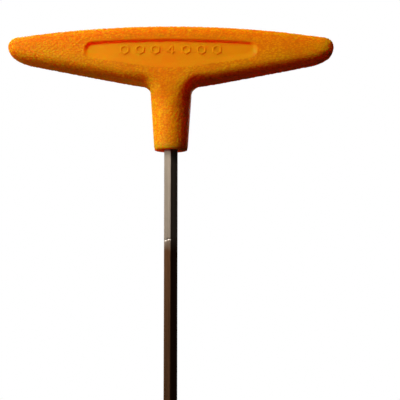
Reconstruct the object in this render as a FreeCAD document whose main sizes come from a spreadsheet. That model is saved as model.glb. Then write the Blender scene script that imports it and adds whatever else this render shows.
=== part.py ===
import FreeCAD, Part
import math
import os

import Sketcher

# T-handle hex key: a hexagonal steel blade moulded into a one-piece plastic handle.
# Frame: origin at the centre of the blade's tip face, +Z up the blade to the handle,
# +X along the handle's arms, -Y the front. Millimetres and degrees.

Vector = FreeCAD.Vector
START, END, CENTRE = 1, 2, 3           # the points of a line or an arc, as Sketcher counts them
ORIGIN, FLAT_AXIS, UP_AXIS = -1, -1, -2   # Sketcher's own origin point and its two axes
RINGS_PER_SIDE = 3
PASS_OVER = -40                        # degrees; where the arm end's two rounds start out meeting
TOUCHING = 0.06                        # nearer to a surface than this counts as on it

DIMENSIONS = [
    ("blade_flats", 4.0, "Hexagon size across flats"),
    ("blade_corner_round", 0.2, "Rounding of the drawn bar's six corners"),
    ("blade_exposed", 150.0, "Blade length below the handle"),
    ("blade_buried", 26.0, "Blade length inside the handle"),
    ("tip_face_radius", 1.85, "Radius left flat on the cut tip by its turned chamfer"),
    ("notch_depth", 0.7, "Depth of the two notches that lock the blade in the plastic"),
    ("notch_height", 4.0, "Height of a notch at its floor"),
    ("notch_drop", 6.0, "Blade's top end to the top of a notch's floor"),
    ("handle_width", 98.5, "Width over both arms"),
    ("handle_height", 36.9, "Neck end to the crown of the handle"),
    ("crown_radius", 365.0, "Long arc over the top"),
    ("shoulder_radius", 3.0, "Upper round of an arm's end"),
    ("heel_radius", 15.0, "Lower round of an arm's end"),
    ("arm_slope", 10.4, "Slope of an arm's underside"),
    ("root_half_width", 4.0, "Where the undersides stop, inside the neck"),
    ("root_drop", 17.65, "Crown to the undersides' inner ends"),
    ("mid_thickness", 13.4, "Head thickness at the middle"),
    ("end_thickness", 10.0, "Head thickness at the ends of the lens shape"),
    ("lens_length", 100.0, "Length of the lens shape seen from above"),
    ("edge_round", 2.8, "Rounding along the head's front and back edges"),
    ("neck_end_radius", 5.0, "Neck radius at its lower end"),
    ("neck_head_radius", 6.61, "Neck radius where it ends inside the head"),
    ("neck_height", 23.5, "Neck end to the neck's top inside the head"),
    ("neck_rim_round", 0.6, "Rounding of the neck's lower rim"),
    ("junction_round", 3.0, "Fillet where the neck meets the arms"),
    ("recess_depth", 0.9, "Depth of the smooth recess on each face"),
    ("recess_width", 50.6, "Width of the recess over its rounded ends"),
    ("recess_crown_drop", 4.4, "Crown to the recess's upper edge"),
    ("recess_foot_drop", 12.1, "Crown to the recess's lowest point"),
    ("recess_end_radius", 2.0, "Rounding of the recess's two ends"),
    ("recess_foot_radius", 60.0, "Rounding of the recess's lowest point"),
    ("relief_height", 0.25, "Height of the raised marks above the recess floor"),
    ("mark_size", 3.1, "Height of the size numeral and of a hexagon ring"),
    ("mark_line", 0.5, "Line width of the marks"),
    ("mark_pitch", 4.6, "Spacing of the marks"),
    ("mark_drop", 7.3, "Crown to the middle of the marks"),
    ("numeral_width", 2.4, "Width of the size numeral"),
    ("numeral_stem", 0.45, "Numeral's right edge to its stem"),
    ("numeral_bar", 0.7, "Numeral's foot to its crossbar"),
]

doc = FreeCAD.newDocument("t_handle_hex_key")
sheet = doc.addObject("Spreadsheet::Sheet", "Dims")
for row, (alias, value, note) in enumerate(DIMENSIONS, start=1):
    sheet.set(f"A{row}", note)
    sheet.set(f"B{row}", str(value))
    sheet.setAlias(f"B{row}", alias)
doc.recompute()

# Formulas that several features share.
CROWN = "(Dims.blade_exposed + Dims.handle_height)"
SAG = "((Dims.mid_thickness - Dims.end_thickness) / 2)"
LENS_RADIUS = f"((Dims.lens_length ^ 2 / 4 + {SAG} ^ 2) / (2 * {SAG}))"
FLOOR = "(Dims.mid_thickness / 2 - Dims.recess_depth)"   # recess floor at the middle, from y = 0
MARK_MIDDLE = f"({CROWN} - Dims.mark_drop)"


def worked(formula):
    """The present value of a formula, for a shape's starting position."""
    return float(sheet.evalExpression(formula))


# ---------------------------------------------------------------- sketching

def new_body(label):
    body = doc.addObject("PartDesign::Body", label)
    body.Label = label
    return body


def origin_part(body, role):
    return next(item for item in body.Origin.OriginFeatures if item.Role == role)


def new_sketch(body, name, role):
    sketch = body.newObject("Sketcher::SketchObject", name)
    sketch.AttachmentSupport = [(origin_part(body, role), "")]
    sketch.MapMode = "FlatFace"
    return sketch


def line(sketch, start, end):
    return sketch.addGeometry(
        Part.LineSegment(Vector(*start, 0), Vector(*end, 0)))


def arc(sketch, centre, radius, first, last):
    """An arc counter-clockwise from the first to the last angle, in degrees."""
    circle = Part.Circle(Vector(*centre, 0), Vector(0, 0, 1), radius)
    return sketch.addGeometry(
        Part.ArcOfCircle(circle, math.radians(first), math.radians(last)))


def rule(sketch, kind, *where):
    """A constraint without a size."""
    sketch.addConstraint(Sketcher.Constraint(kind, *where))


def size(sketch, name, formula, kind, *where):
    """A named constraint whose size follows the sheet."""
    value = worked(formula)
    if kind == "Angle":
        value = math.radians(value)
        formula = f"({formula}) * 1 deg"
    index = sketch.addConstraint(Sketcher.Constraint(kind, *where, value))
    sketch.renameConstraint(index, name)
    sketch.setExpression(f"Constraints.{name}", formula)


def place(sketch, name, point, across=None, up=None):
    """Holds a (geometry, point) pair at formulas measured from the sketch's origin."""
    for direction, kind, formula in (("across", "DistanceX", across), ("up", "DistanceY", up)):
        if formula and worked(formula) > 0:
            size(sketch, f"{name}_{direction}", formula, kind, ORIGIN, START, *point)
        elif formula:
            size(sketch, f"{name}_{direction}", f"-{formula}", kind, *point, ORIGIN, START)


def joined(sketch, pieces):
    """Makes each line or arc start where the one before it ends, all the way round."""
    for before, after in zip(pieces, pieces[1:] + pieces[:1]):
        rule(sketch, "Coincident", before, END, after, START)


def polygon(sketch, corners):
    lines = [line(sketch, start, end) for start, end in zip(corners, corners[1:] + corners[:1])]
    joined(sketch, lines)
    return lines


def held_polygon(sketch, corners):
    """A closed outline with every corner held at its own pair of formulas."""
    lines = polygon(sketch, [(worked(across), worked(up)) for across, up in corners])
    for number, (across, up) in enumerate(corners):
        place(sketch, f"corner_{number}", (lines[number], START), across, up)
    return lines


def hexagon(sketch, name, across_flats, centre):
    """A regular hexagon about a (geometry, point) pair, with a corner up and a corner down."""
    middle = sketch.getPoint(*centre)
    radius = worked(across_flats) / math.sqrt(3)
    turns = [math.radians(90 + 60 * step) for step in range(6)]
    lines = polygon(sketch, [(middle.x + radius * math.cos(turn), middle.y + radius * math.sin(turn))
                             for turn in turns])
    circle = Part.Circle(middle, Vector(0, 0, 1), radius)
    ring = sketch.addGeometry(circle, True)
    rule(sketch, "Coincident", ring, CENTRE, *centre)
    for side in lines:
        rule(sketch, "PointOnObject", side, START, ring)
    for side in lines[1:]:
        rule(sketch, "Equal", lines[0], side)
    rule(sketch, "Vertical", lines[1])
    size(sketch, f"{name}_diameter", f"2 * {across_flats} / sqrt(3)", "Diameter", ring)
    return lines


def feature(body, kind, name, sketch=None):
    item = body.newObject(f"PartDesign::{kind}", name)
    if sketch:
        item.Profile = sketch
        sketch.Visibility = False
    return item


def through_all(pocket):
    pocket.Type = "ThroughAll"
    pocket.SideType = "Symmetric"


def edge_names(shape, wanted):
    """Names of the edges whose middle point and two ends pass a test."""
    names = []
    for number, edge in enumerate(shape.Edges, start=1):
        middle = edge.valueAt((edge.FirstParameter + edge.LastParameter) / 2)
        ends = [edge.valueAt(edge.FirstParameter), edge.valueAt(edge.LastParameter)]
        if wanted(middle, ends):
            names.append(f"Edge{number}")
    return names


def mirrored(body, name, half):
    whole = body.newObject("PartDesign::Mirrored", name)
    whole.Originals = [half]
    whole.MirrorPlane = (origin_part(body, "YZ_Plane"), [""])
    body.Tip = whole


# ---------------------------------------------------------------- blade

def build_blade(label):
    """The hexagonal bar with its chamfered tip and the two notches near its buried end."""
    body = new_body(label)
    section = new_sketch(body, f"{label}_section", "XY_Plane")
    hexagon(section, "bar", "Dims.blade_flats", (ORIGIN, START))
    bar = feature(body, "Pad", f"{label}_bar", section)
    bar.setExpression("Length", "Dims.blade_exposed + Dims.blade_buried")
    doc.recompute()

    corners = feature(body, "Fillet", f"{label}_corners")
    corners.Base = (bar, edge_names(bar.Shape, lambda middle, ends: ends[0].z != ends[1].z))
    corners.setExpression("Radius", "Dims.blade_corner_round")

    chamfer = new_sketch(body, f"{label}_chamfer", "XZ_Plane")
    face, outside = worked("Dims.tip_face_radius"), worked("Dims.blade_flats")
    floor, wall, cone = polygon(chamfer, [(face, 0), (outside, 0), (outside, outside - face)])
    rule(chamfer, "Horizontal", floor)
    rule(chamfer, "Vertical", wall)
    rule(chamfer, "Equal", floor, wall)
    rule(chamfer, "PointOnObject", floor, START, FLAT_AXIS)
    place(chamfer, "face", (floor, START), across="Dims.tip_face_radius")
    place(chamfer, "outside", (wall, START), across="Dims.blade_flats")
    tip = feature(body, "Groove", f"{label}_tip", chamfer)
    tip.ReferenceAxis = (chamfer, ["V_Axis"])
    tip.Angle = 360

    # A notch has 45 degree ends. Its sketch runs on past the flat by the notch's own depth.
    outline = new_sketch(body, f"{label}_notch_outline", "XZ_Plane")
    floor_x = "(Dims.blade_flats / 2 - Dims.notch_depth)"
    mouth_x = "(Dims.blade_flats / 2 + Dims.notch_depth)"
    top = "(Dims.blade_exposed + Dims.blade_buried - Dims.notch_drop)"
    foot = f"({top} - Dims.notch_height)"
    held_polygon(outline, [
        (floor_x, foot), (mouth_x, f"({foot} - 2 * Dims.notch_depth)"),
        (mouth_x, f"({top} + 2 * Dims.notch_depth)"), (floor_x, top)])
    notch = feature(body, "Pocket", f"{label}_notch", outline)
    through_all(notch)
    mirrored(body, f"{label}_notches", notch)
    return body


# ---------------------------------------------------------------- handle

def lens_loop(sketch, half_thickness):
    """The handle's lens shape seen from above: an arc in front, one behind, short straight ends."""
    curve, apex = worked(LENS_RADIUS), worked(half_thickness)
    reach = worked("Dims.lens_length / 2")
    spread = math.degrees(math.asin(reach / curve))
    edge = apex - curve + math.sqrt(curve ** 2 - reach ** 2)
    front = arc(sketch, (0, curve - apex), curve, 270 - spread, 270 + spread)
    right = line(sketch, (reach, -edge), (reach, edge))
    back = arc(sketch, (0, apex - curve), curve, 90 - spread, 90 + spread)
    left = line(sketch, (-reach, edge), (-reach, -edge))
    joined(sketch, [front, right, back, left])
    rule(sketch, "Vertical", right)
    rule(sketch, "Vertical", left)
    rule(sketch, "PointOnObject", front, CENTRE, UP_AXIS)
    rule(sketch, "Symmetric", front, CENTRE, back, CENTRE, FLAT_AXIS)
    rule(sketch, "Equal", front, back)
    size(sketch, "lens_radius", LENS_RADIUS, "Radius", front)
    place(sketch, "front_centre", (front, CENTRE), up=f"{LENS_RADIUS} - {half_thickness}")
    place(sketch, "right", (right, START), across="Dims.lens_length / 2")
    size(sketch, "left_reach", "Dims.lens_length / 2", "DistanceX", left, START, ORIGIN, START)


def surround(sketch):
    """A rectangle well outside the lens shape."""
    reach, depth = worked("Dims.lens_length"), worked("Dims.mid_thickness")
    near, right, far, left = polygon(
        sketch, [(-reach, -depth), (reach, -depth), (reach, depth), (-reach, depth)])
    rule(sketch, "Horizontal", near)
    rule(sketch, "Horizontal", far)
    rule(sketch, "Vertical", right)
    rule(sketch, "Vertical", left)
    rule(sketch, "Symmetric", near, START, far, START, ORIGIN, START)
    place(sketch, "surround", (far, START), across="Dims.lens_length", up="Dims.mid_thickness")


def build_head(body):
    """Half the head's outline, mirrored, then thinned to a lens seen from above."""
    outline = new_sketch(body, "head_outline", "XZ_Plane")
    crown, curve, slope = worked(CROWN), worked("Dims.crown_radius"), worked("Dims.arm_slope")
    shoulder_radius, heel_radius = worked("Dims.shoulder_radius"), worked("Dims.heel_radius")
    root = (worked("Dims.root_half_width"), crown - worked("Dims.root_drop"))
    shoulder_x = worked("Dims.handle_width / 2") - shoulder_radius
    lean = math.degrees(math.asin(shoulder_x / (curve - shoulder_radius)))
    shoulder_z = crown - curve + (curve - shoulder_radius) * math.cos(math.radians(lean))
    gap = heel_radius - shoulder_radius
    heel_x = shoulder_x - gap * math.cos(math.radians(PASS_OVER))
    heel_z = shoulder_z - gap * math.sin(math.radians(PASS_OVER))
    heel_foot = (heel_x + heel_radius * math.sin(math.radians(slope)),
                 heel_z - heel_radius * math.cos(math.radians(slope)))

    top = arc(outline, (0, crown - curve), curve, 90 - lean, 90)
    axis = line(outline, (0, crown), (0, root[1]))
    foot = line(outline, (0, root[1]), root)
    underside = line(outline, root, heel_foot)
    heel = arc(outline, (heel_x, heel_z), heel_radius, slope - 90, PASS_OVER)
    shoulder = arc(outline, (shoulder_x, shoulder_z), shoulder_radius, PASS_OVER, 90 - lean)
    for before, after in ((top, axis), (axis, foot), (foot, underside)):
        rule(outline, "Coincident", before, END, after, START)
    for before, after in ((underside, heel), (heel, shoulder), (shoulder, top)):
        rule(outline, "Tangent", before, END, after, START)
    rule(outline, "PointOnObject", top, CENTRE, UP_AXIS)
    rule(outline, "PointOnObject", axis, START, UP_AXIS)
    rule(outline, "Vertical", axis)
    rule(outline, "Horizontal", foot)
    size(outline, "crown_radius", "Dims.crown_radius", "Radius", top)
    size(outline, "crown_centre", f"Dims.crown_radius - {CROWN}", "DistanceY",
         top, CENTRE, ORIGIN, START)
    size(outline, "shoulder_radius", "Dims.shoulder_radius", "Radius", shoulder)
    size(outline, "heel_radius", "Dims.heel_radius", "Radius", heel)
    size(outline, "slope", "Dims.arm_slope", "Angle", underside)
    place(outline, "shoulder", (shoulder, CENTRE),
          across="Dims.handle_width / 2 - Dims.shoulder_radius")
    place(outline, "root", (underside, START),
          across="Dims.root_half_width", up=f"{CROWN} - Dims.root_drop")
    half = feature(body, "Pad", "head_half", outline)
    half.setExpression("Length", "Dims.mid_thickness")
    half.SideType = "Symmetric"
    mirrored(body, "head_block", half)

    plan = new_sketch(body, "head_plan", "XY_Plane")
    lens_loop(plan, "(Dims.mid_thickness / 2)")
    surround(plan)
    lens = feature(body, "Pocket", "head_lens", plan)
    through_all(lens)
    doc.recompute()

    def on_face(middle, ends):
        """True along the front and the back outline, which run round the lens's two faces."""
        thinnest = worked("Dims.end_thickness / 4")
        same_side = all(end.y * middle.y > 0 for end in ends)
        return same_side and abs(middle.y) > thinnest

    rounds = feature(body, "Fillet", "head_edges")
    rounds.Base = (lens, edge_names(lens.Shape, on_face))
    rounds.setExpression("Radius", "Dims.edge_round")


def build_neck(body):
    """The tapered round neck, turned about the blade's axis, with its fillet to the arms."""
    profile = new_sketch(body, "neck_profile", "XZ_Plane")
    foot, rim = worked("Dims.blade_exposed"), worked("Dims.neck_rim_round")
    top = foot + worked("Dims.neck_height")
    end_radius, head_radius = worked("Dims.neck_end_radius"), worked("Dims.neck_head_radius")
    end = line(profile, (0, foot), (end_radius - rim, foot))
    lip = arc(profile, (end_radius - rim, foot + rim), rim, 270, 360)
    side = line(profile, (end_radius, foot + rim), (head_radius, top))
    lid = line(profile, (head_radius, top), (0, top))
    axis = line(profile, (0, top), (0, foot))
    for before, after in ((end, lip), (lip, side)):
        rule(profile, "Tangent", before, END, after, START)
    for before, after in ((side, lid), (lid, axis), (axis, end)):
        rule(profile, "Coincident", before, END, after, START)
    rule(profile, "Horizontal", end)
    rule(profile, "Horizontal", lid)
    rule(profile, "Vertical", axis)
    size(profile, "rim_round", "Dims.neck_rim_round", "Radius", lip)
    place(profile, "foot", (end, START), up="Dims.blade_exposed")
    rule(profile, "PointOnObject", axis, END, UP_AXIS)
    place(profile, "lip", (lip, CENTRE), across="Dims.neck_end_radius - Dims.neck_rim_round")
    place(profile, "top", (side, END), across="Dims.neck_head_radius",
          up="Dims.blade_exposed + Dims.neck_height")
    neck = feature(body, "Revolution", "neck", profile)
    neck.ReferenceAxis = (profile, ["V_Axis"])
    neck.Angle = 360
    doc.recompute()

    taper = (head_radius - end_radius) / (top - foot)
    half_height = (top - foot) / 2

    def at_junction(middle, ends):
        """True where the neck's cone meets the arms, which is in its upper half."""
        neck_radius = end_radius + taper * (middle.z - foot)
        on_cone = abs(math.hypot(middle.x, middle.y) - neck_radius) < TOUCHING
        across = abs(ends[0].z - ends[1].z) < half_height
        return on_cone and across and foot + half_height < middle.z < top

    junction = feature(body, "Fillet", "neck_junction")
    junction.Base = (neck, edge_names(neck.Shape, at_junction))
    junction.setExpression("Radius", "Dims.junction_round")


def build_recess_space():
    """What the smooth recess takes off both faces: its outline outside a thinner lens."""
    body = new_body("recess_space")
    body.AllowCompound = True
    outline = new_sketch(body, "recess_outline", "XZ_Plane")
    crown = worked(CROWN)
    top_radius = worked("Dims.crown_radius - Dims.recess_crown_drop")
    top_middle = crown - worked("Dims.crown_radius")
    foot_radius, end_radius = worked("Dims.recess_foot_radius"), worked("Dims.recess_end_radius")
    foot = crown - worked("Dims.recess_foot_drop")
    end_x = worked("Dims.recess_width / 2") - end_radius
    lean = math.degrees(math.asin(end_x / (top_radius - end_radius)))
    end_z = top_middle + (top_radius - end_radius) * math.cos(math.radians(lean))
    slope = worked("Dims.arm_slope")   # near enough to start from; the tangents settle it
    sine, cosine = math.sin(math.radians(slope)), math.cos(math.radians(slope))

    top = arc(outline, (0, top_middle), top_radius, 90 - lean, 90)
    axis = line(outline, (0, top_middle + top_radius), (0, foot))
    keel = arc(outline, (0, foot + foot_radius), foot_radius, 270, 270 + slope)
    side = line(outline, (foot_radius * sine, foot + foot_radius * (1 - cosine)),
                (end_x + end_radius * sine, end_z - end_radius * cosine))
    end = arc(outline, (end_x, end_z), end_radius, slope - 90, 90 - lean)
    for before, after in ((top, axis), (axis, keel)):
        rule(outline, "Coincident", before, END, after, START)
    for before, after in ((keel, side), (side, end), (end, top)):
        rule(outline, "Tangent", before, END, after, START)
    rule(outline, "PointOnObject", top, CENTRE, UP_AXIS)
    rule(outline, "PointOnObject", keel, CENTRE, UP_AXIS)
    rule(outline, "PointOnObject", axis, START, UP_AXIS)
    rule(outline, "Vertical", axis)
    size(outline, "top_radius", "Dims.crown_radius - Dims.recess_crown_drop", "Radius", top)
    size(outline, "top_centre", f"Dims.crown_radius - {CROWN}", "DistanceY",
         top, CENTRE, ORIGIN, START)
    size(outline, "keel_radius", "Dims.recess_foot_radius", "Radius", keel)
    place(outline, "keel_centre", (keel, CENTRE),
          up=f"{CROWN} - Dims.recess_foot_drop + Dims.recess_foot_radius")
    size(outline, "end_radius", "Dims.recess_end_radius", "Radius", end)
    place(outline, "end", (end, CENTRE),
          across="Dims.recess_width / 2 - Dims.recess_end_radius")
    half = feature(body, "Pad", "recess_half", outline)
    half.setExpression("Length", "Dims.mid_thickness + 2 * Dims.recess_depth")
    half.SideType = "Symmetric"
    mirrored(body, "recess_block", half)

    floor = new_sketch(body, "recess_floor", "XY_Plane")
    lens_loop(floor, FLOOR)
    kept = feature(body, "Pocket", "recess_kept", floor)
    through_all(kept)
    return body


def build_marks(body):
    """Raised marks on the recess floor: a size numeral between two rows of hexagon rings."""
    rings = new_sketch(body, "ring_outline", "XZ_Plane")
    middle = Part.Point(Vector(-worked("Dims.mark_pitch"), worked(MARK_MIDDLE), 0))
    centre = (rings.addGeometry(middle, True), START)
    size(rings, "first_across", "Dims.mark_pitch", "DistanceX", *centre, ORIGIN, START)
    place(rings, "first", centre, up=MARK_MIDDLE)
    ring_flats = "(Dims.mark_size * sqrt(3) / 2)"
    hexagon(rings, "outer", ring_flats, centre)
    hexagon(rings, "inner", f"({ring_flats} - 2 * Dims.mark_line)", centre)
    ring = feature(body, "Pad", "ring", rings)
    ring.setExpression("Length", f"{FLOOR} + Dims.relief_height")

    rings_all = body.newObject("PartDesign::MultiTransform", "rings")
    row = body.newObject("PartDesign::LinearPattern", "ring_row")
    row.Direction = (origin_part(body, "X_Axis"), [""])
    row.Reversed = True
    row.setExpression("Length", f"Dims.mark_pitch * {RINGS_PER_SIDE - 1}")
    row.Occurrences = RINGS_PER_SIDE
    sides = body.newObject("PartDesign::Mirrored", "ring_sides")
    sides.MirrorPlane = (origin_part(body, "YZ_Plane"), [""])
    faces = body.newObject("PartDesign::PolarPattern", "ring_faces")
    faces.Axis = (origin_part(body, "Z_Axis"), [""])
    faces.Occurrences = 2
    rings_all.Originals = [ring]
    rings_all.Transformations = [row, sides, faces]
    body.Tip = rings_all
    doc.recompute()

    numeral = new_sketch(body, "numeral_outline", "XZ_Plane")
    right = "(Dims.numeral_width / 2)"
    left = "(-Dims.numeral_width / 2)"
    stem_right = f"({right} - Dims.numeral_stem)"
    stem_left = f"({stem_right} - Dims.mark_line)"
    foot = f"({MARK_MIDDLE} - Dims.mark_size / 2)"
    top = f"({MARK_MIDDLE} + Dims.mark_size / 2)"
    bar = f"({foot} + Dims.numeral_bar)"
    bar_top = f"({bar} + Dims.mark_line)"
    outer = held_polygon(numeral, [
        (stem_left, foot), (stem_right, foot), (stem_right, bar), (right, bar),
        (right, bar_top), (stem_right, bar_top), (stem_right, top), (stem_left, top),
        (left, bar_top), (left, bar), (stem_left, bar)])
    slant = outer[7]
    corner = (worked(stem_left), worked(bar_top))
    stroke = worked("Dims.mark_line")
    base, upright, inner_slant = polygon(
        numeral, [(corner[0] - stroke, corner[1]), corner, (corner[0], corner[1] + stroke)])
    rule(numeral, "Horizontal", base)
    rule(numeral, "Vertical", upright)
    place(numeral, "eye", (upright, START), across=stem_left, up=bar_top)
    rule(numeral, "Parallel", inner_slant, slant)
    size(numeral, "eye_wall", "Dims.mark_line", "Distance", base, START, slant)
    figure = feature(body, "Pad", "numeral", numeral)
    figure.setExpression("Length", f"{FLOOR} + Dims.relief_height")
    both = body.newObject("PartDesign::PolarPattern", "numerals")
    both.Originals = [figure]
    both.Axis = (origin_part(body, "Z_Axis"), [""])
    both.Occurrences = 2
    body.Tip = both


def build_handle(label):
    body = new_body(label)
    build_head(body)
    build_neck(body)
    spaces = body.newObject("PartDesign::Boolean", "handle_spaces")
    spaces.Type = "Cut"
    spaces.setObjects([build_recess_space(), build_blade("blade_space")])
    doc.recompute()
    build_marks(body)
    return body


# ---------------------------------------------------------------- build, check, write

sub_parts = [build_handle("handle"), build_blade("hex_blade")]
doc.recompute()

failed = [item.Name for item in doc.Objects if {"Invalid", "Error"} & set(item.State)]
if failed:
    raise RuntimeError(f"these objects failed: {failed}")
for part in sub_parts:
    if part.Shape.isNull() or not part.Shape.isValid() or len(part.Shape.Solids) != 1:
        raise RuntimeError(f"{part.Label} is not one valid solid")

os.makedirs("parts", exist_ok=True)
for part in sub_parts:
    part.Shape.exportStep(f"parts/{part.Label}.step")
    print(part.Label, round(part.Shape.Volume, 2), part.Shape.BoundBox)
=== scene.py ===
import math

import bmesh
import bpy
import numpy as np
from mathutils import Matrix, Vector, kdtree, noise


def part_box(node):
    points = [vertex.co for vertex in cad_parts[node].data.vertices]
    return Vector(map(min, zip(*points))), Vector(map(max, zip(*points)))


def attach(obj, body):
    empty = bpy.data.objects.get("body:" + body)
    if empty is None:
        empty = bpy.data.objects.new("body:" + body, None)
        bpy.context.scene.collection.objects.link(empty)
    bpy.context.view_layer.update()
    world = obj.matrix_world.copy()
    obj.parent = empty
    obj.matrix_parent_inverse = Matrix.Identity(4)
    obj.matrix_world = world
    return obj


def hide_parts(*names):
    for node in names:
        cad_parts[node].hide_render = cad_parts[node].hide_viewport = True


# A T-handle hex key: an orange moulded handle with pebble grain on a dark hexagonal blade.
# Everything is in metres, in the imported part's frame: Z up the blade, X along the arms, -Y front.

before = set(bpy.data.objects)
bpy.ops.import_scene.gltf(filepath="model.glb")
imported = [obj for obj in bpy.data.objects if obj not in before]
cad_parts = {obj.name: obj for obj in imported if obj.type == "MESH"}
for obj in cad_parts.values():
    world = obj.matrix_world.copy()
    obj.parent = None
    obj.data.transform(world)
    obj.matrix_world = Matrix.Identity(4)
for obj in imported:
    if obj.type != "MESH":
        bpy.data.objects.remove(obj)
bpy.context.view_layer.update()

MM = 0.001

handle_low, handle_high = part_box("handle")
blade_low, blade_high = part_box("hex_blade")
NECK_END = handle_low.z          # where the blade leaves the handle
CROWN = handle_high.z            # top of the handle
HALF_WIDTH = handle_high.x
TIP = blade_low.z
BLADE_TOP = blade_high.z

# The handle's own sizes, as the part was designed.
CROWN_RADIUS = 365.0 * MM
SHOULDER_RADIUS = 3.0 * MM
HEEL_RADIUS = 15.0 * MM
ARM_SLOPE = math.radians(10.4)
ROOT_HALF_WIDTH = 4.0 * MM
ROOT_DROP = 17.65 * MM
MID_HALF = 6.7 * MM              # half the head's thickness at the middle
END_HALF = 5.0 * MM              # the same at the ends of its lens shape
LENS_HALF_LENGTH = 50.0 * MM
NECK_END_RADIUS = 5.0 * MM
NECK_HEAD_RADIUS = 6.61 * MM
NECK_HEIGHT = 23.5 * MM
NECK_RIM = 0.6 * MM
JUNCTION_RADIUS = 3.0 * MM
RECESS_DEPTH = 0.9 * MM
RECESS_HALF_WIDTH = 25.3 * MM
RECESS_TOP_DROP = 4.4 * MM
RECESS_FOOT_DROP = 12.1 * MM
RECESS_END_RADIUS = 2.0 * MM
RECESS_FOOT_RADIUS = 60.0 * MM
MARK_SIZE = 3.1 * MM
MARK_LINE = 0.5 * MM
MARK_PITCH = 4.6 * MM
MARK_DROP = 7.3 * MM
MARK_HEIGHT = 0.25 * MM
RINGS_PER_SIDE = 3
FLATS = 4.0 * MM                 # the blade, across its flats
CORNER_ROUND = 0.2 * MM
TIP_FACE_RADIUS = 1.85 * MM

# Finer shape than the design holds.
UPPER_ROUND = 1.9 * MM           # rounding of the upper front and back edges
LOWER_ROUND = 2.6 * MM           # rounding of the lower ones
FOOT_DEPTH = 0.14 * MM           # the recess floor rises to this depth at its lowest point
SECTION_REACH = 5.0 * MM         # how far in from the outline the rounded section reaches

SAG = MID_HALF - END_HALF
LENS_RADIUS = (LENS_HALF_LENGTH ** 2 + SAG ** 2) / (2 * SAG)


# ---------------------------------------------------------------- small helpers

def object_from(name, mesh):
    piece = bpy.data.objects.new(name, mesh)
    bpy.context.scene.collection.objects.link(piece)
    return piece


def mesh_from(name, work):
    mesh = bpy.data.meshes.new(name)
    bmesh.ops.recalc_face_normals(work, faces=work.faces)
    work.to_mesh(mesh)
    work.free()
    return mesh


def coordinates(mesh):
    values = np.empty(len(mesh.vertices) * 3)
    mesh.vertices.foreach_get("co", values)
    return values.reshape(-1, 3)


def set_coordinates(mesh, points):
    mesh.vertices.foreach_set("co", points.ravel())
    mesh.update()


def vertex_normals(mesh):
    values = np.empty(len(mesh.vertices) * 3)
    mesh.vertex_normals.foreach_get("vector", values)
    return values.reshape(-1, 3)


def store(mesh, name, values):
    attribute = mesh.attributes.new(name, "FLOAT", "POINT")
    attribute.data.foreach_set("value", np.asarray(values, np.float32))


def smoothstep(low, high, values):
    t = np.clip((values - low) / (high - low), 0, 1)
    return t * t * (3 - 2 * t)


def mix(first, second, weight):
    return first + (second - first) * weight


def smoothed(mesh, points, weight, rounds):
    """Moves each point towards the mean of its neighbours, by its weight, several times."""
    edges = np.empty(len(mesh.edges) * 2, np.int64)
    mesh.edges.foreach_get("vertices", edges)
    first, second = edges.reshape(-1, 2).T
    count = np.bincount(edges, minlength=len(points))
    for _ in range(rounds):
        total = np.zeros_like(points)
        for axis in range(3):
            total[:, axis] = (np.bincount(first, points[second, axis], len(points))
                              + np.bincount(second, points[first, axis], len(points)))
        points = mix(points, total / count[:, None], weight[:, None])
    return points


# ---------------------------------------------------------------- outlines in X and Z

def arc_points(centre, radius, first, last, count):
    return [(centre[0] + radius * math.cos(t), centre[1] + radius * math.sin(t))
            for t in np.linspace(first, last, count)]


def both_sides(half):
    """A closed clockwise outline from its right half, which runs from the top to the bottom."""
    other = [(-x, z) for x, z in reversed(half) if x > 0]
    return np.array(half + other)


def handle_outline():
    """The T of the handle: crown, shoulder, heel, underside, fillet and the neck's side."""
    quarter = math.pi / 2
    shoulder_x = HALF_WIDTH - SHOULDER_RADIUS
    lean = math.asin(shoulder_x / (CROWN_RADIUS - SHOULDER_RADIUS))
    shoulder = np.array((shoulder_x, CROWN - CROWN_RADIUS
                         + (CROWN_RADIUS - SHOULDER_RADIUS) * math.cos(lean)))
    along = np.array((math.cos(ARM_SLOPE), math.sin(ARM_SLOPE)))
    down = np.array((along[1], -along[0]))
    root = np.array((ROOT_HALF_WIDTH, CROWN - ROOT_DROP))
    start = root - down * HEEL_RADIUS
    to_shoulder = shoulder - start
    run = to_shoulder @ along
    gap = HEEL_RADIUS - SHOULDER_RADIUS
    heel = start + along * (run - math.sqrt(run ** 2 - to_shoulder @ to_shoulder + gap ** 2))
    pass_over = math.atan2(shoulder[1] - heel[1], shoulder[0] - heel[0])

    foot = np.array((NECK_END_RADIUS, NECK_END))
    rise = np.array((NECK_HEAD_RADIUS - NECK_END_RADIUS, NECK_HEIGHT))
    rise /= math.hypot(*rise)
    out = np.array((rise[1], -rise[0]))
    fillet = np.linalg.solve(np.array((down, out)),
                             np.array((root @ down, foot @ out)) + JUNCTION_RADIUS)
    half = (arc_points((0, CROWN - CROWN_RADIUS), CROWN_RADIUS, quarter, quarter - lean, 60)
            + arc_points(shoulder, SHOULDER_RADIUS, quarter - lean, pass_over, 30)[1:]
            + arc_points(heel, HEEL_RADIUS, pass_over, ARM_SLOPE - quarter, 40)[1:]
            + arc_points(fillet, JUNCTION_RADIUS, ARM_SLOPE + quarter,
                         math.atan2(-out[1], -out[0]), 16)
            + [tuple(foot)])
    return both_sides(half)


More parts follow.
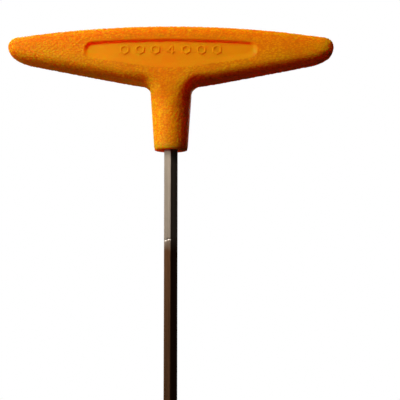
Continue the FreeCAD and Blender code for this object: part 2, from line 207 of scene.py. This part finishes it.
def recess_outline():
    """The recess's closed outline, from its arcs and the lines that touch them."""
    quarter = math.pi / 2
    top_radius = CROWN_RADIUS - RECESS_TOP_DROP
    top = (0.0, CROWN - CROWN_RADIUS)
    end_x = RECESS_HALF_WIDTH - RECESS_END_RADIUS
    lean = math.asin(end_x / (top_radius - RECESS_END_RADIUS))
    end = (end_x, top[1] + (top_radius - RECESS_END_RADIUS) * math.cos(lean))
    foot = (0.0, CROWN - RECESS_FOOT_DROP + RECESS_FOOT_RADIUS)
    reach = math.hypot(end[0], foot[1] - end[1])
    slope = (math.atan2(end[0], foot[1] - end[1])
             - math.acos((RECESS_FOOT_RADIUS - RECESS_END_RADIUS) / reach))
    half = (arc_points(top, top_radius, quarter, quarter - lean, 40)
            + arc_points(end, RECESS_END_RADIUS, quarter - lean, slope - quarter, 24)[1:]
            + arc_points(foot, RECESS_FOOT_RADIUS, slope - quarter, -quarter, 20)[1:])
    return both_sides(half)


def from_outline(x, z, outline, ignore_below=-1.0):
    """Distance inside a clockwise outline and the inward direction at its nearest point."""
    step = 0.05 * MM
    samples, inward = [], []
    for start, end in zip(outline, np.roll(outline, -1, axis=0)):
        span = end - start
        length = math.hypot(*span)
        if length == 0 or max(start[1], end[1]) < ignore_below:
            continue
        count = max(1, round(length / step))
        for number in range(count):
            samples.append(start + span * (number + 0.5) / count)
            inward.append((span[1] / length, -span[0] / length))
    tree = kdtree.KDTree(len(samples))
    for number, sample in enumerate(samples):
        tree.insert((sample[0], sample[1], 0), number)
    tree.balance()
    nearest = np.array([tree.find((a, b, 0))[1] for a, b in zip(x, z)])
    inward = np.array(inward)[nearest]
    away = np.column_stack((x, z)) - np.array(samples)[nearest]
    return (away * inward).sum(axis=1), inward


def face_depth(x):
    """Half the head's thickness at x, along its lens shape."""
    return MID_HALF - LENS_RADIUS + np.sqrt(LENS_RADIUS ** 2 - x ** 2)


def floor_depth(z):
    """How far the recess floor lies under the face: deepest along its upper edge."""
    up = (z - (CROWN - RECESS_FOOT_DROP)) / (RECESS_FOOT_DROP - RECESS_TOP_DROP)
    return mix(FOOT_DEPTH, RECESS_DEPTH, np.clip(up, 0, 1))


# ---------------------------------------------------------------- handle

VOXEL = 0.28 * MM
SLAB_HALF = 8.0 * MM
GRAIN_SIZE = np.array((0.95, 0.95, 0.5)) * MM
GRAIN_HEIGHT = 0.11 * MM


def slab():
    """The handle's outline as a thick plate of small even faces."""
    work = bmesh.new()
    corners = [work.verts.new((x, -SLAB_HALF, z)) for x, z in handle_outline()]
    face = work.faces.new(corners)
    grown = bmesh.ops.extrude_face_region(work, geom=[face])
    moved = [item for item in grown["geom"] if isinstance(item, bmesh.types.BMVert)]
    bmesh.ops.translate(work, verts=moved, vec=(0, 2 * SLAB_HALF, 0))
    piece = object_from("handle_shell", mesh_from("slab", work))
    remesh = piece.modifiers.new("remesh", "REMESH")
    remesh.mode = "VOXEL"
    remesh.voxel_size = VOXEL
    graph = bpy.context.evaluated_depsgraph_get()
    mesh = bpy.data.meshes.new_from_object(piece.evaluated_get(graph))
    piece.modifiers.clear()
    piece.data = mesh
    return piece


def corner_reach(cosine, sine, across, up, radius):
    """Distance along a ray from a rounded rectangle's middle to its side."""
    flat = np.minimum(across / np.maximum(cosine, 1e-9), up / np.maximum(sine, 1e-9))
    on_corner = (flat * sine > up - radius) & (flat * cosine > across - radius)
    along = cosine * (across - radius) + sine * (up - radius)
    past = (across - radius) ** 2 + (up - radius) ** 2 - radius ** 2
    rounded = along + np.sqrt(np.maximum(along ** 2 - past, 0))
    return np.where(on_corner, rounded, flat)


def moulded(points):
    """Bends the plate's points to the handle's rounded, lens-shaped section."""
    x, y, z = points.T
    inside, inward = from_outline(x, z, handle_outline(), NECK_END + NECK_RIM / 2)
    neck_radius = mix(NECK_END_RADIUS, NECK_HEAD_RADIUS, (z - NECK_END) / NECK_HEIGHT)
    in_neck = ((1 - smoothstep(CROWN - 25 * MM, CROWN - 13.5 * MM, z))
               * (1 - smoothstep(8 * MM, 15 * MM, np.abs(x))))
    upper = smoothstep(-0.2, 0.7, -inward[:, 1])
    half = mix(face_depth(x), neck_radius, in_neck)
    # Towards an arm's tip the section has to fit inside the ever lower arm.
    fitting = SHOULDER_RADIUS + 0.2 * np.maximum(HALF_WIDTH - SHOULDER_RADIUS - np.abs(x), 0)
    centre = mix(np.minimum(SECTION_REACH, 0.95 * fitting), neck_radius, in_neck)
    radius = mix(mix(LOWER_ROUND, UPPER_ROUND, upper), neck_radius, in_neck)
    radius = np.minimum(radius, np.minimum(half, centre))

    across = np.maximum(centre - inside, 0)
    reach = np.hypot(across, y)
    cosine, sine = across / reach, np.abs(y) / reach
    plate = np.minimum(centre / np.maximum(cosine, 1e-9), SLAB_HALF / np.maximum(sine, 1e-9))
    share = reach / plate
    share = np.where(share > 0.95, 1, share)
    target = corner_reach(cosine, sine, centre, half, radius) * share
    shift = np.where(inside < centre, centre - target * cosine - inside, 0)
    points[:, 0] += inward[:, 0] * shift
    points[:, 2] += inward[:, 1] * shift
    points[:, 1] = np.sign(y) * target * sine
    return points


def pebbles(points):
    """Height of the moulded grain at each point: rounded cells with narrow valleys between."""
    heights = np.empty(len(points))
    for number, point in enumerate(points / GRAIN_SIZE):
        (first, second, _, _), _ = noise.voronoi(point, distance_metric="DISTANCE")
        heights[number] = second - first
    return smoothstep(0.0, 0.45, heights)


def build_handle():
    piece = slab()
    mesh = piece.data
    points = moulded(coordinates(mesh))
    points = smoothed(mesh, points, smoothstep(33 * MM, 40 * MM, np.abs(points[:, 0])), 6)
    set_coordinates(mesh, points)

    # Soften the neck's rim and leave a small dimple where the blade comes out.
    rim = 1 - smoothstep(0.5 * MM, 1.0 * MM, points[:, 2] - NECK_END)
    points = smoothed(mesh, points, rim, 7)
    low = points[:, 2] < NECK_END + 0.3 * MM
    from_axis = np.hypot(points[:, 0], points[:, 1])
    points[low, 2] = NECK_END + 0.3 * MM * (1 - smoothstep(2.7 * MM, 3.3 * MM, from_axis[low]))

    # The recess: a steep wall above, softer ends, a long slope below, and a smooth floor.
    inside, inward = from_outline(points[:, 0], points[:, 2], recess_outline())
    below = smoothstep(0.1, 0.8, inward[:, 1])
    ends = smoothstep(0.3, 0.9, np.abs(inward[:, 0]))
    wall = mix(mix(0.35 * MM, 0.8 * MM, ends), 1.7 * MM, below)
    faces = (np.abs(points[:, 1]) > END_HALF / 2) & (inside > -wall)
    depth = floor_depth(points[:, 2]) * smoothstep(-wall * 0.6, wall * 0.6, inside)
    points[faces, 1] = (np.sign(points[faces, 1])
                        * (face_depth(points[faces, 0]) - depth[faces]))
    set_coordinates(mesh, points)

    normals = vertex_normals(mesh)
    parting = (1 - smoothstep(0.12 * MM, 0.4 * MM, np.abs(points[:, 1]))) * (1 - rim)
    smooth = smoothstep(-0.9 * MM, -0.3 * MM, inside) * (np.abs(normals[:, 1]) > 0.5)
    rough = (1 - smooth) * (1 - rim) * (1 - parting)
    grain = pebbles(points)
    points += normals * ((grain - 0.7) * rough * GRAIN_HEIGHT + parting * 0.04 * MM)[:, None]
    set_coordinates(mesh, points)
    store(mesh, "grain", grain)
    store(mesh, "rough", rough)
    store(mesh, "low", 1 - smoothstep(0, 5 * MM, points[:, 2] - NECK_END))
    mesh.shade_smooth()
    mesh.materials.append(plastic_material("orange_plastic", 1.0))
    print("shell", len(mesh.polygons), points.min(0), points.max(0))
    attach(piece, "root")
    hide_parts("handle")


# ---------------------------------------------------------------- raised marks

def ribbon(work, path, closed, facing):
    """A raised line along a path in X and Z on the recess floor, with slanted sides."""
    path = [np.array(point) for point in path]
    rings = []
    for number, here in enumerate(path):
        before = path[number - 1] if closed or number else here
        after = path[(number + 1) % len(path)] if closed or number + 1 < len(path) else here
        legs = [leg / math.hypot(*leg) for leg in (here - before, after - here) if leg.any()]
        run = sum(legs) / math.hypot(*sum(legs))
        side = np.array((-run[1], run[0]))
        spread = MARK_LINE / 2 / max(side @ (-legs[0][1], legs[0][0]), 0.5)
        ring = []
        for offset, height in ((1.15, -0.1 * MM), (0.65, MARK_HEIGHT),
                               (-0.65, MARK_HEIGHT), (-1.15, -0.1 * MM)):
            x, z = here + side * spread * offset
            ring.append(work.verts.new(
                (x * facing, -facing * (face_depth(x) - floor_depth(z) + height), z)))
        rings.append(ring)
    pairs = list(zip(rings, rings[1:] + rings[:1])) if closed else list(zip(rings, rings[1:]))
    for first, second in pairs:
        for corner in range(4):
            other = (corner + 1) % 4
            work.faces.new((first[corner], first[other], second[other], second[corner]))
    if not closed:
        work.faces.new(rings[0])
        work.faces.new(rings[-1][::-1])


def build_marks(name, facing, material):
    """A size numeral between two rows of hexagon rings; facing is 1 in front, -1 behind."""
    work = bmesh.new()
    middle = CROWN - MARK_DROP
    ring_radius = MARK_SIZE / 2 - MARK_LINE / math.sqrt(3)
    for step in range(1, RINGS_PER_SIDE + 1):
        for side in (-1, 1):
            corners = [math.radians(60 * turn + 90) for turn in range(6)]
            path = [(side * step * MARK_PITCH + ring_radius * math.cos(turn),
                     middle + ring_radius * math.sin(turn)) for turn in corners]
            ribbon(work, path, True, facing)
    half = MARK_SIZE / 2 - MARK_LINE / 2
    stem = 0.5 * MM
    bar = middle - half + 0.75 * MM
    ribbon(work, [(stem, middle + half), (-0.95 * MM, bar), (1.2 * MM, bar)], False, facing)
    ribbon(work, [(stem, middle + half), (stem, middle - half)], False, facing)
    piece = object_from(name, mesh_from(name, work))
    piece.data.materials.append(material)
    for attribute, value in (("grain", 1), ("rough", 0), ("low", 0)):
        store(piece.data, attribute, np.full(len(piece.data.vertices), value))
    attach(piece, "root")


# ---------------------------------------------------------------- blade

NICK = 122.9 * MM                # height of the scratch across the front left flat


def blade_section():
    """One ring of points round the hexagon, a corner in front, with finely divided flats."""
    centre_radius = (FLATS - 2 * CORNER_ROUND) / math.sqrt(3)
    ring = []
    for corner in range(6):
        turn = math.radians(60 * corner - 90)
        middle = (centre_radius * math.cos(turn), centre_radius * math.sin(turn))
        ring += arc_points(middle, CORNER_ROUND, turn - math.pi / 6, turn + math.pi / 6, 6)
        following = turn + math.pi / 3
        start = np.array(ring[-1])
        first = turn + math.pi / 6
        end = np.array((centre_radius * math.cos(following) + CORNER_ROUND * math.cos(first),
                        centre_radius * math.sin(following) + CORNER_ROUND * math.sin(first)))
        ring += [tuple(mix(start, end, share)) for share in np.linspace(0, 1, 9)[1:-1]]
    return np.array(ring)


def blade_heights():
    steps = [np.linspace(TIP, TIP + 0.5 * MM, 6), np.arange(1.5, 121, 1.5) * MM,
             np.arange(121.5, 124.5, 0.1) * MM, np.arange(125.5, BLADE_TOP / MM, 1.5) * MM]
    return np.concatenate(steps + [[BLADE_TOP]])


def build_blade():
    section, heights = blade_section(), blade_heights()
    count = len(section)
    rings = np.repeat(section[None], len(heights), axis=0)
    limit = TIP_FACE_RADIUS + (heights - TIP)[:, None]
    radial = np.hypot(rings[:, :, 0], rings[:, :, 1])
    rings *= np.minimum(1, limit / radial)[:, :, None]
    z = np.repeat(heights[:, None], count, axis=1)
    points = np.column_stack((rings.reshape(-1, 2), z.ravel()))

    # Across the front left flat: -1 at the blade's left edge, 1 at its front corner.
    across = (points[:, 0] * 0.866 - points[:, 1] * 0.5) / (1.15 * MM)
    on_flat = smoothstep(1.9 * MM, 1.97 * MM, -points[:, 0] * 0.5 - points[:, 1] * 0.866)
    line = NICK + mix(-0.14, 0.14, across > -0.1) * MM
    scratch = (on_flat * np.exp(-((points[:, 2] - line) / (0.17 * MM)) ** 2)
               * (1 - 0.8 * np.exp(-((across + 0.1) / 0.12) ** 2)) * (np.abs(across) < 0.95))
    wave = np.array([noise.noise((a * 900, b * 900, c * 60)) for a, b, c in points])
    radial = np.hypot(points[:, 0], points[:, 1])[:, None]
    inner = (points[:, 2] < NECK_END)[:, None]
    points[:, :2] -= points[:, :2] / radial * ((0.07 * scratch - 0.012 * wave)[:, None]
                                               * MM * inner)

    work = bmesh.new()
    verts = [work.verts.new(point) for point in points]
    for ring in range(len(heights) - 1):
        for side in range(count):
            other = (side + 1) % count
            low, high = ring * count, (ring + 1) * count
            work.faces.new((verts[low + side], verts[low + other],
                            verts[high + other], verts[high + side]))
    work.faces.new(verts[:count][::-1])
    work.faces.new(verts[-count:])
    piece = object_from("blade", mesh_from("blade", work))
    mesh = piece.data
    store(mesh, "scratch", scratch)
    mesh.shade_smooth()
    mesh.materials.append(steel_material())
    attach(piece, "root")
    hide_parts("hex_blade")


# ---------------------------------------------------------------- materials

def new_material(name):
    material = bpy.data.materials.new(name)
    material.use_nodes = True
    nodes, links = material.node_tree.nodes, material.node_tree.links
    nodes.clear()
    shader = nodes.new("ShaderNodeBsdfPrincipled")
    output = nodes.new("ShaderNodeOutputMaterial")
    links.new(shader.outputs["BSDF"], output.inputs["Surface"])
    return material, nodes, links, shader


def attribute_of(nodes, name):
    node = nodes.new("ShaderNodeAttribute")
    node.attribute_name = name
    return node.outputs["Fac"]


def mapped_coordinates(nodes, links, scale):
    place = nodes.new("ShaderNodeTexCoord")
    mapping = nodes.new("ShaderNodeMapping")
    mapping.inputs["Scale"].default_value = scale
    links.new(place.outputs["Object"], mapping.inputs["Vector"])
    return mapping.outputs["Vector"]


def noise_of(nodes, links, scale, detail=2.0):
    node = nodes.new("ShaderNodeTexNoise")
    node.inputs["Scale"].default_value = 1.0
    node.inputs["Detail"].default_value = detail
    links.new(mapped_coordinates(nodes, links, scale), node.inputs["Vector"])
    return node.outputs["Fac"]


def ranged(nodes, links, source, low, high, to_low, to_high):
    node = nodes.new("ShaderNodeMapRange")
    for name, value in (("From Min", low), ("From Max", high),
                        ("To Min", to_low), ("To Max", to_high)):
        node.inputs[name].default_value = value
    links.new(source, node.inputs["Value"])
    return node.outputs["Result"]


def combined(nodes, links, operation, first, second):
    node = nodes.new("ShaderNodeMath")
    node.operation = operation
    for slot, value in enumerate((first, second)):
        if isinstance(value, (int, float)):
            node.inputs[slot].default_value = value
        else:
            links.new(value, node.inputs[slot])
    return node.outputs["Value"]


def blended(nodes, links, weight, first, second):
    """Mixes two colours, each a colour output or a plain colour, by a weight."""
    node = nodes.new("ShaderNodeMix")
    node.data_type = "RGBA"
    links.new(weight, node.inputs["Factor"])
    for name, value in (("A", first), ("B", second)):
        socket = next(item for item in node.inputs
                      if item.name == name and item.type == "RGBA")
        if isinstance(value, tuple):
            socket.default_value = (*value, 1)
        else:
            links.new(value, socket)
    return next(item for item in node.outputs if item.type == "RGBA")


def plastic_material(name, scattering):
    material, nodes, links, shader = new_material(name)
    grain, rough = attribute_of(nodes, "grain"), attribute_of(nodes, "rough")
    cloudy = ranged(nodes, links, noise_of(nodes, links, (110, 110, 150)), 0.35, 0.65, 0, 1)
    body = blended(nodes, links, cloudy, (0.98, 0.35, 0.001), (0.99, 0.40, 0.002))
    # Painted shade: the grain's valleys are blended towards a darker, redder orange, standing in
    # for the shade in the pits between the pebbles.
    valley_shade = combined(nodes, links, "MULTIPLY",
                      ranged(nodes, links, grain, 0.0, 0.9, 0.8, 0.0), rough)
    colour = blended(nodes, links, valley_shade, body, (0.80, 0.18, 0.001))
    # Painted shade: where there is no grain (recess floor, neck rim, parting line, raised marks),
    # the colour is half blended to a darker, redder orange. This matches the grained face's painted
    # valley shade and the shade on the recess floor.
    smooth_shade = ranged(nodes, links, rough, 0, 1, 0.5, 0.0)
    colour = blended(nodes, links, smooth_shade, colour, (0.96, 0.24, 0.001))
    scuff = ranged(nodes, links, noise_of(nodes, links, (500, 500, 2600)), 0.55, 0.7, 0, 0.35)
    worn = combined(nodes, links, "MULTIPLY", scuff, attribute_of(nodes, "low"))
    colour = blended(nodes, links, worn, colour, (0.93, 0.42, 0.06))
    links.new(colour, shader.inputs["Base Color"])

    fine = noise_of(nodes, links, (1500, 1500, 2900), 1.0)
    height = combined(nodes, links, "MULTIPLY", fine,
                      ranged(nodes, links, rough, 0, 1, 0.06, 1.0))
    bump = nodes.new("ShaderNodeBump")
    bump.inputs["Strength"].default_value = 1.0
    bump.inputs["Distance"].default_value = 0.2 * MM
    links.new(height, bump.inputs["Height"])
    links.new(bump.outputs["Normal"], shader.inputs["Normal"])

    gloss = combined(nodes, links, "ADD", ranged(nodes, links, rough, 0, 1, 0.5, 0.46),
                     ranged(nodes, links, worn, 0, 0.35, 0, 0.12))
    links.new(gloss, shader.inputs["Roughness"])
    shader.inputs["Subsurface Weight"].default_value = scattering
    shader.inputs["Subsurface Radius"].default_value = (1.0, 0.03, 0.008)
    shader.inputs["Subsurface Scale"].default_value = 10.0 * MM
    shader.inputs["Specular IOR Level"].default_value = 0.05
    return material


def steel_material():
    material, nodes, links, shader = new_material("black_oxide_steel")
    place = nodes.new("ShaderNodeTexCoord")
    parts = nodes.new("ShaderNodeSeparateXYZ")
    links.new(place.outputs["Object"], parts.inputs["Vector"])
    patchy = noise_of(nodes, links, (240, 240, 60), 3.0)
    height = combined(nodes, links, "ADD", parts.outputs["Z"],
                      ranged(nodes, links, patchy, 0.3, 0.7, -1.2 * MM, 1.2 * MM))
    # Above the nick, with a noisy edge, the blade is blended from brown to a lighter grey. This is
    # partly a burnished finish and partly painted sheen from the light along the upper blade.
    upper = ranged(nodes, links, height, 119.5 * MM, 123.2 * MM, 0, 1)
    drawn = noise_of(nodes, links, (3600, 3600, 25), 2.0)
    streak = ranged(nodes, links, drawn, 0.35, 0.65, 0, 1)
    brown = blended(nodes, links, streak, (0.085, 0.034, 0.012), (0.12, 0.052, 0.02))
    sheen_grey = blended(nodes, links, streak, (0.24, 0.19, 0.14), (0.30, 0.235, 0.175))
    colour = blended(nodes, links, upper, brown, sheen_grey)
    colour = blended(nodes, links, attribute_of(nodes, "scratch"), colour, (0.62, 0.55, 0.48))
    links.new(colour, shader.inputs["Base Color"])
    links.new(ranged(nodes, links, streak, 0, 1, 0.34, 0.42), shader.inputs["Roughness"])
    shader.inputs["Metallic"].default_value = 0.9
    bump = nodes.new("ShaderNodeBump")
    bump.inputs["Strength"].default_value = 0.12
    bump.inputs["Distance"].default_value = 0.03 * MM
    links.new(drawn, bump.inputs["Height"])
    links.new(bump.outputs["Normal"], shader.inputs["Normal"])
    return material


# ---------------------------------------------------------------- studio

def build_floor():
    bpy.ops.mesh.primitive_circle_add(vertices=96, radius=0.6, fill_type="NGON")
    floor = bpy.context.object
    floor.name = "floor"
    floor.location.z = TIP
    material, nodes, links, shader = new_material("pale_floor")
    shader.inputs["Base Color"].default_value = (0.6, 0.6, 0.6, 1)
    shader.inputs["Roughness"].default_value = 0.9
    shader.inputs["Emission Color"].default_value = (1, 1, 1, 1)
    shader.inputs["Emission Strength"].default_value = 0.55
    floor.data.materials.append(material)
    floor.visible_diffuse = False
    floor.visible_glossy = False


def build_world():
    world = bpy.data.worlds.new("studio")
    bpy.context.scene.world = world
    world.use_nodes = True
    nodes, links = world.node_tree.nodes, world.node_tree.links
    nodes.clear()
    path = nodes.new("ShaderNodeLightPath")
    seen = nodes.new("ShaderNodeBackground")
    seen.inputs["Color"].default_value = (1, 1, 1, 1)
    ambient = nodes.new("ShaderNodeBackground")
    ambient.inputs["Color"].default_value = (1, 1, 1, 1)
    ambient.inputs["Strength"].default_value = 0.015
    shader = nodes.new("ShaderNodeMixShader")
    output = nodes.new("ShaderNodeOutputWorld")
    links.new(path.outputs["Is Camera Ray"], shader.inputs["Fac"])
    links.new(ambient.outputs["Background"], shader.inputs[1])
    links.new(seen.outputs["Background"], shader.inputs[2])
    links.new(shader.outputs["Shader"], output.inputs["Surface"])


def add_area(name, azimuth, elevation, distance, size, radiance, height=0.0):
    """An area light; azimuth 0 is in front of the object and grows towards -X."""
    data = bpy.data.lights.new(name, "AREA")
    data.shape = "RECTANGLE"
    data.size, data.size_y = size
    data.energy = radiance * math.pi * size[0] * size[1]
    light = bpy.data.objects.new(name, data)
    bpy.context.scene.collection.objects.link(light)
    turn, rise = math.radians(azimuth), math.radians(elevation)
    direction = Vector((-math.sin(turn) * math.cos(rise), -math.cos(turn) * math.cos(rise),
                        math.sin(rise)))
    light.location = Vector((0, 0, (NECK_END + CROWN) / 2 + height)) + direction * distance
    light.rotation_euler = direction.to_track_quat("Z", "Y").to_euler()


def build_lights():
    add_area("key", 48, 35, 0.65, (0.24, 0.24), 28.5)
    add_area("strip", 60, 14, 0.7, (0.12, 0.22), 5.0, -0.03)
    add_area("low_fill", 88, -9, 0.5, (0.2, 0.2), 4.5)
    add_area("back_left", 150, 35, 0.7, (0.3, 0.3), 12.0)
    add_area("back_right", 202, 22, 0.7, (0.3, 0.3), 6.0)


def build_camera():
    """The camera stands 1.5 degrees to the right of the front, a little under the handle."""
    distance, height = 326 * MM, 104 * MM
    azimuth, aside = 1.5, 1.54   # degrees: round the object, and from the blade to the aim
    aim_height = 135 * MM
    data = bpy.data.cameras.new("camera")
    data.sensor_width = 36.0     # mm, as is the focal length
    data.lens = 98.01
    data.clip_start, data.clip_end = 0.01, 10
    camera = bpy.data.objects.new("camera", data)
    bpy.context.scene.collection.objects.link(camera)
    around = math.radians(azimuth)
    camera.location = (distance * math.sin(around), -distance * math.cos(around), height)
    turn = math.radians(azimuth - aside)
    look = Vector((-math.sin(turn), math.cos(turn), (aim_height - height) / distance))
    camera.rotation_euler = look.to_track_quat("-Z", "Y").to_euler()
    bpy.context.scene.camera = camera


bpy.context.scene.view_settings.view_transform = "Standard"
build_camera()
build_world()
build_lights()
build_floor()
build_handle()
thin_plastic = plastic_material("orange_plastic_marks", 0.0)
build_marks("size_marks_front", 1, thin_plastic)
build_marks("size_marks_back", -1, thin_plastic)
build_blade()
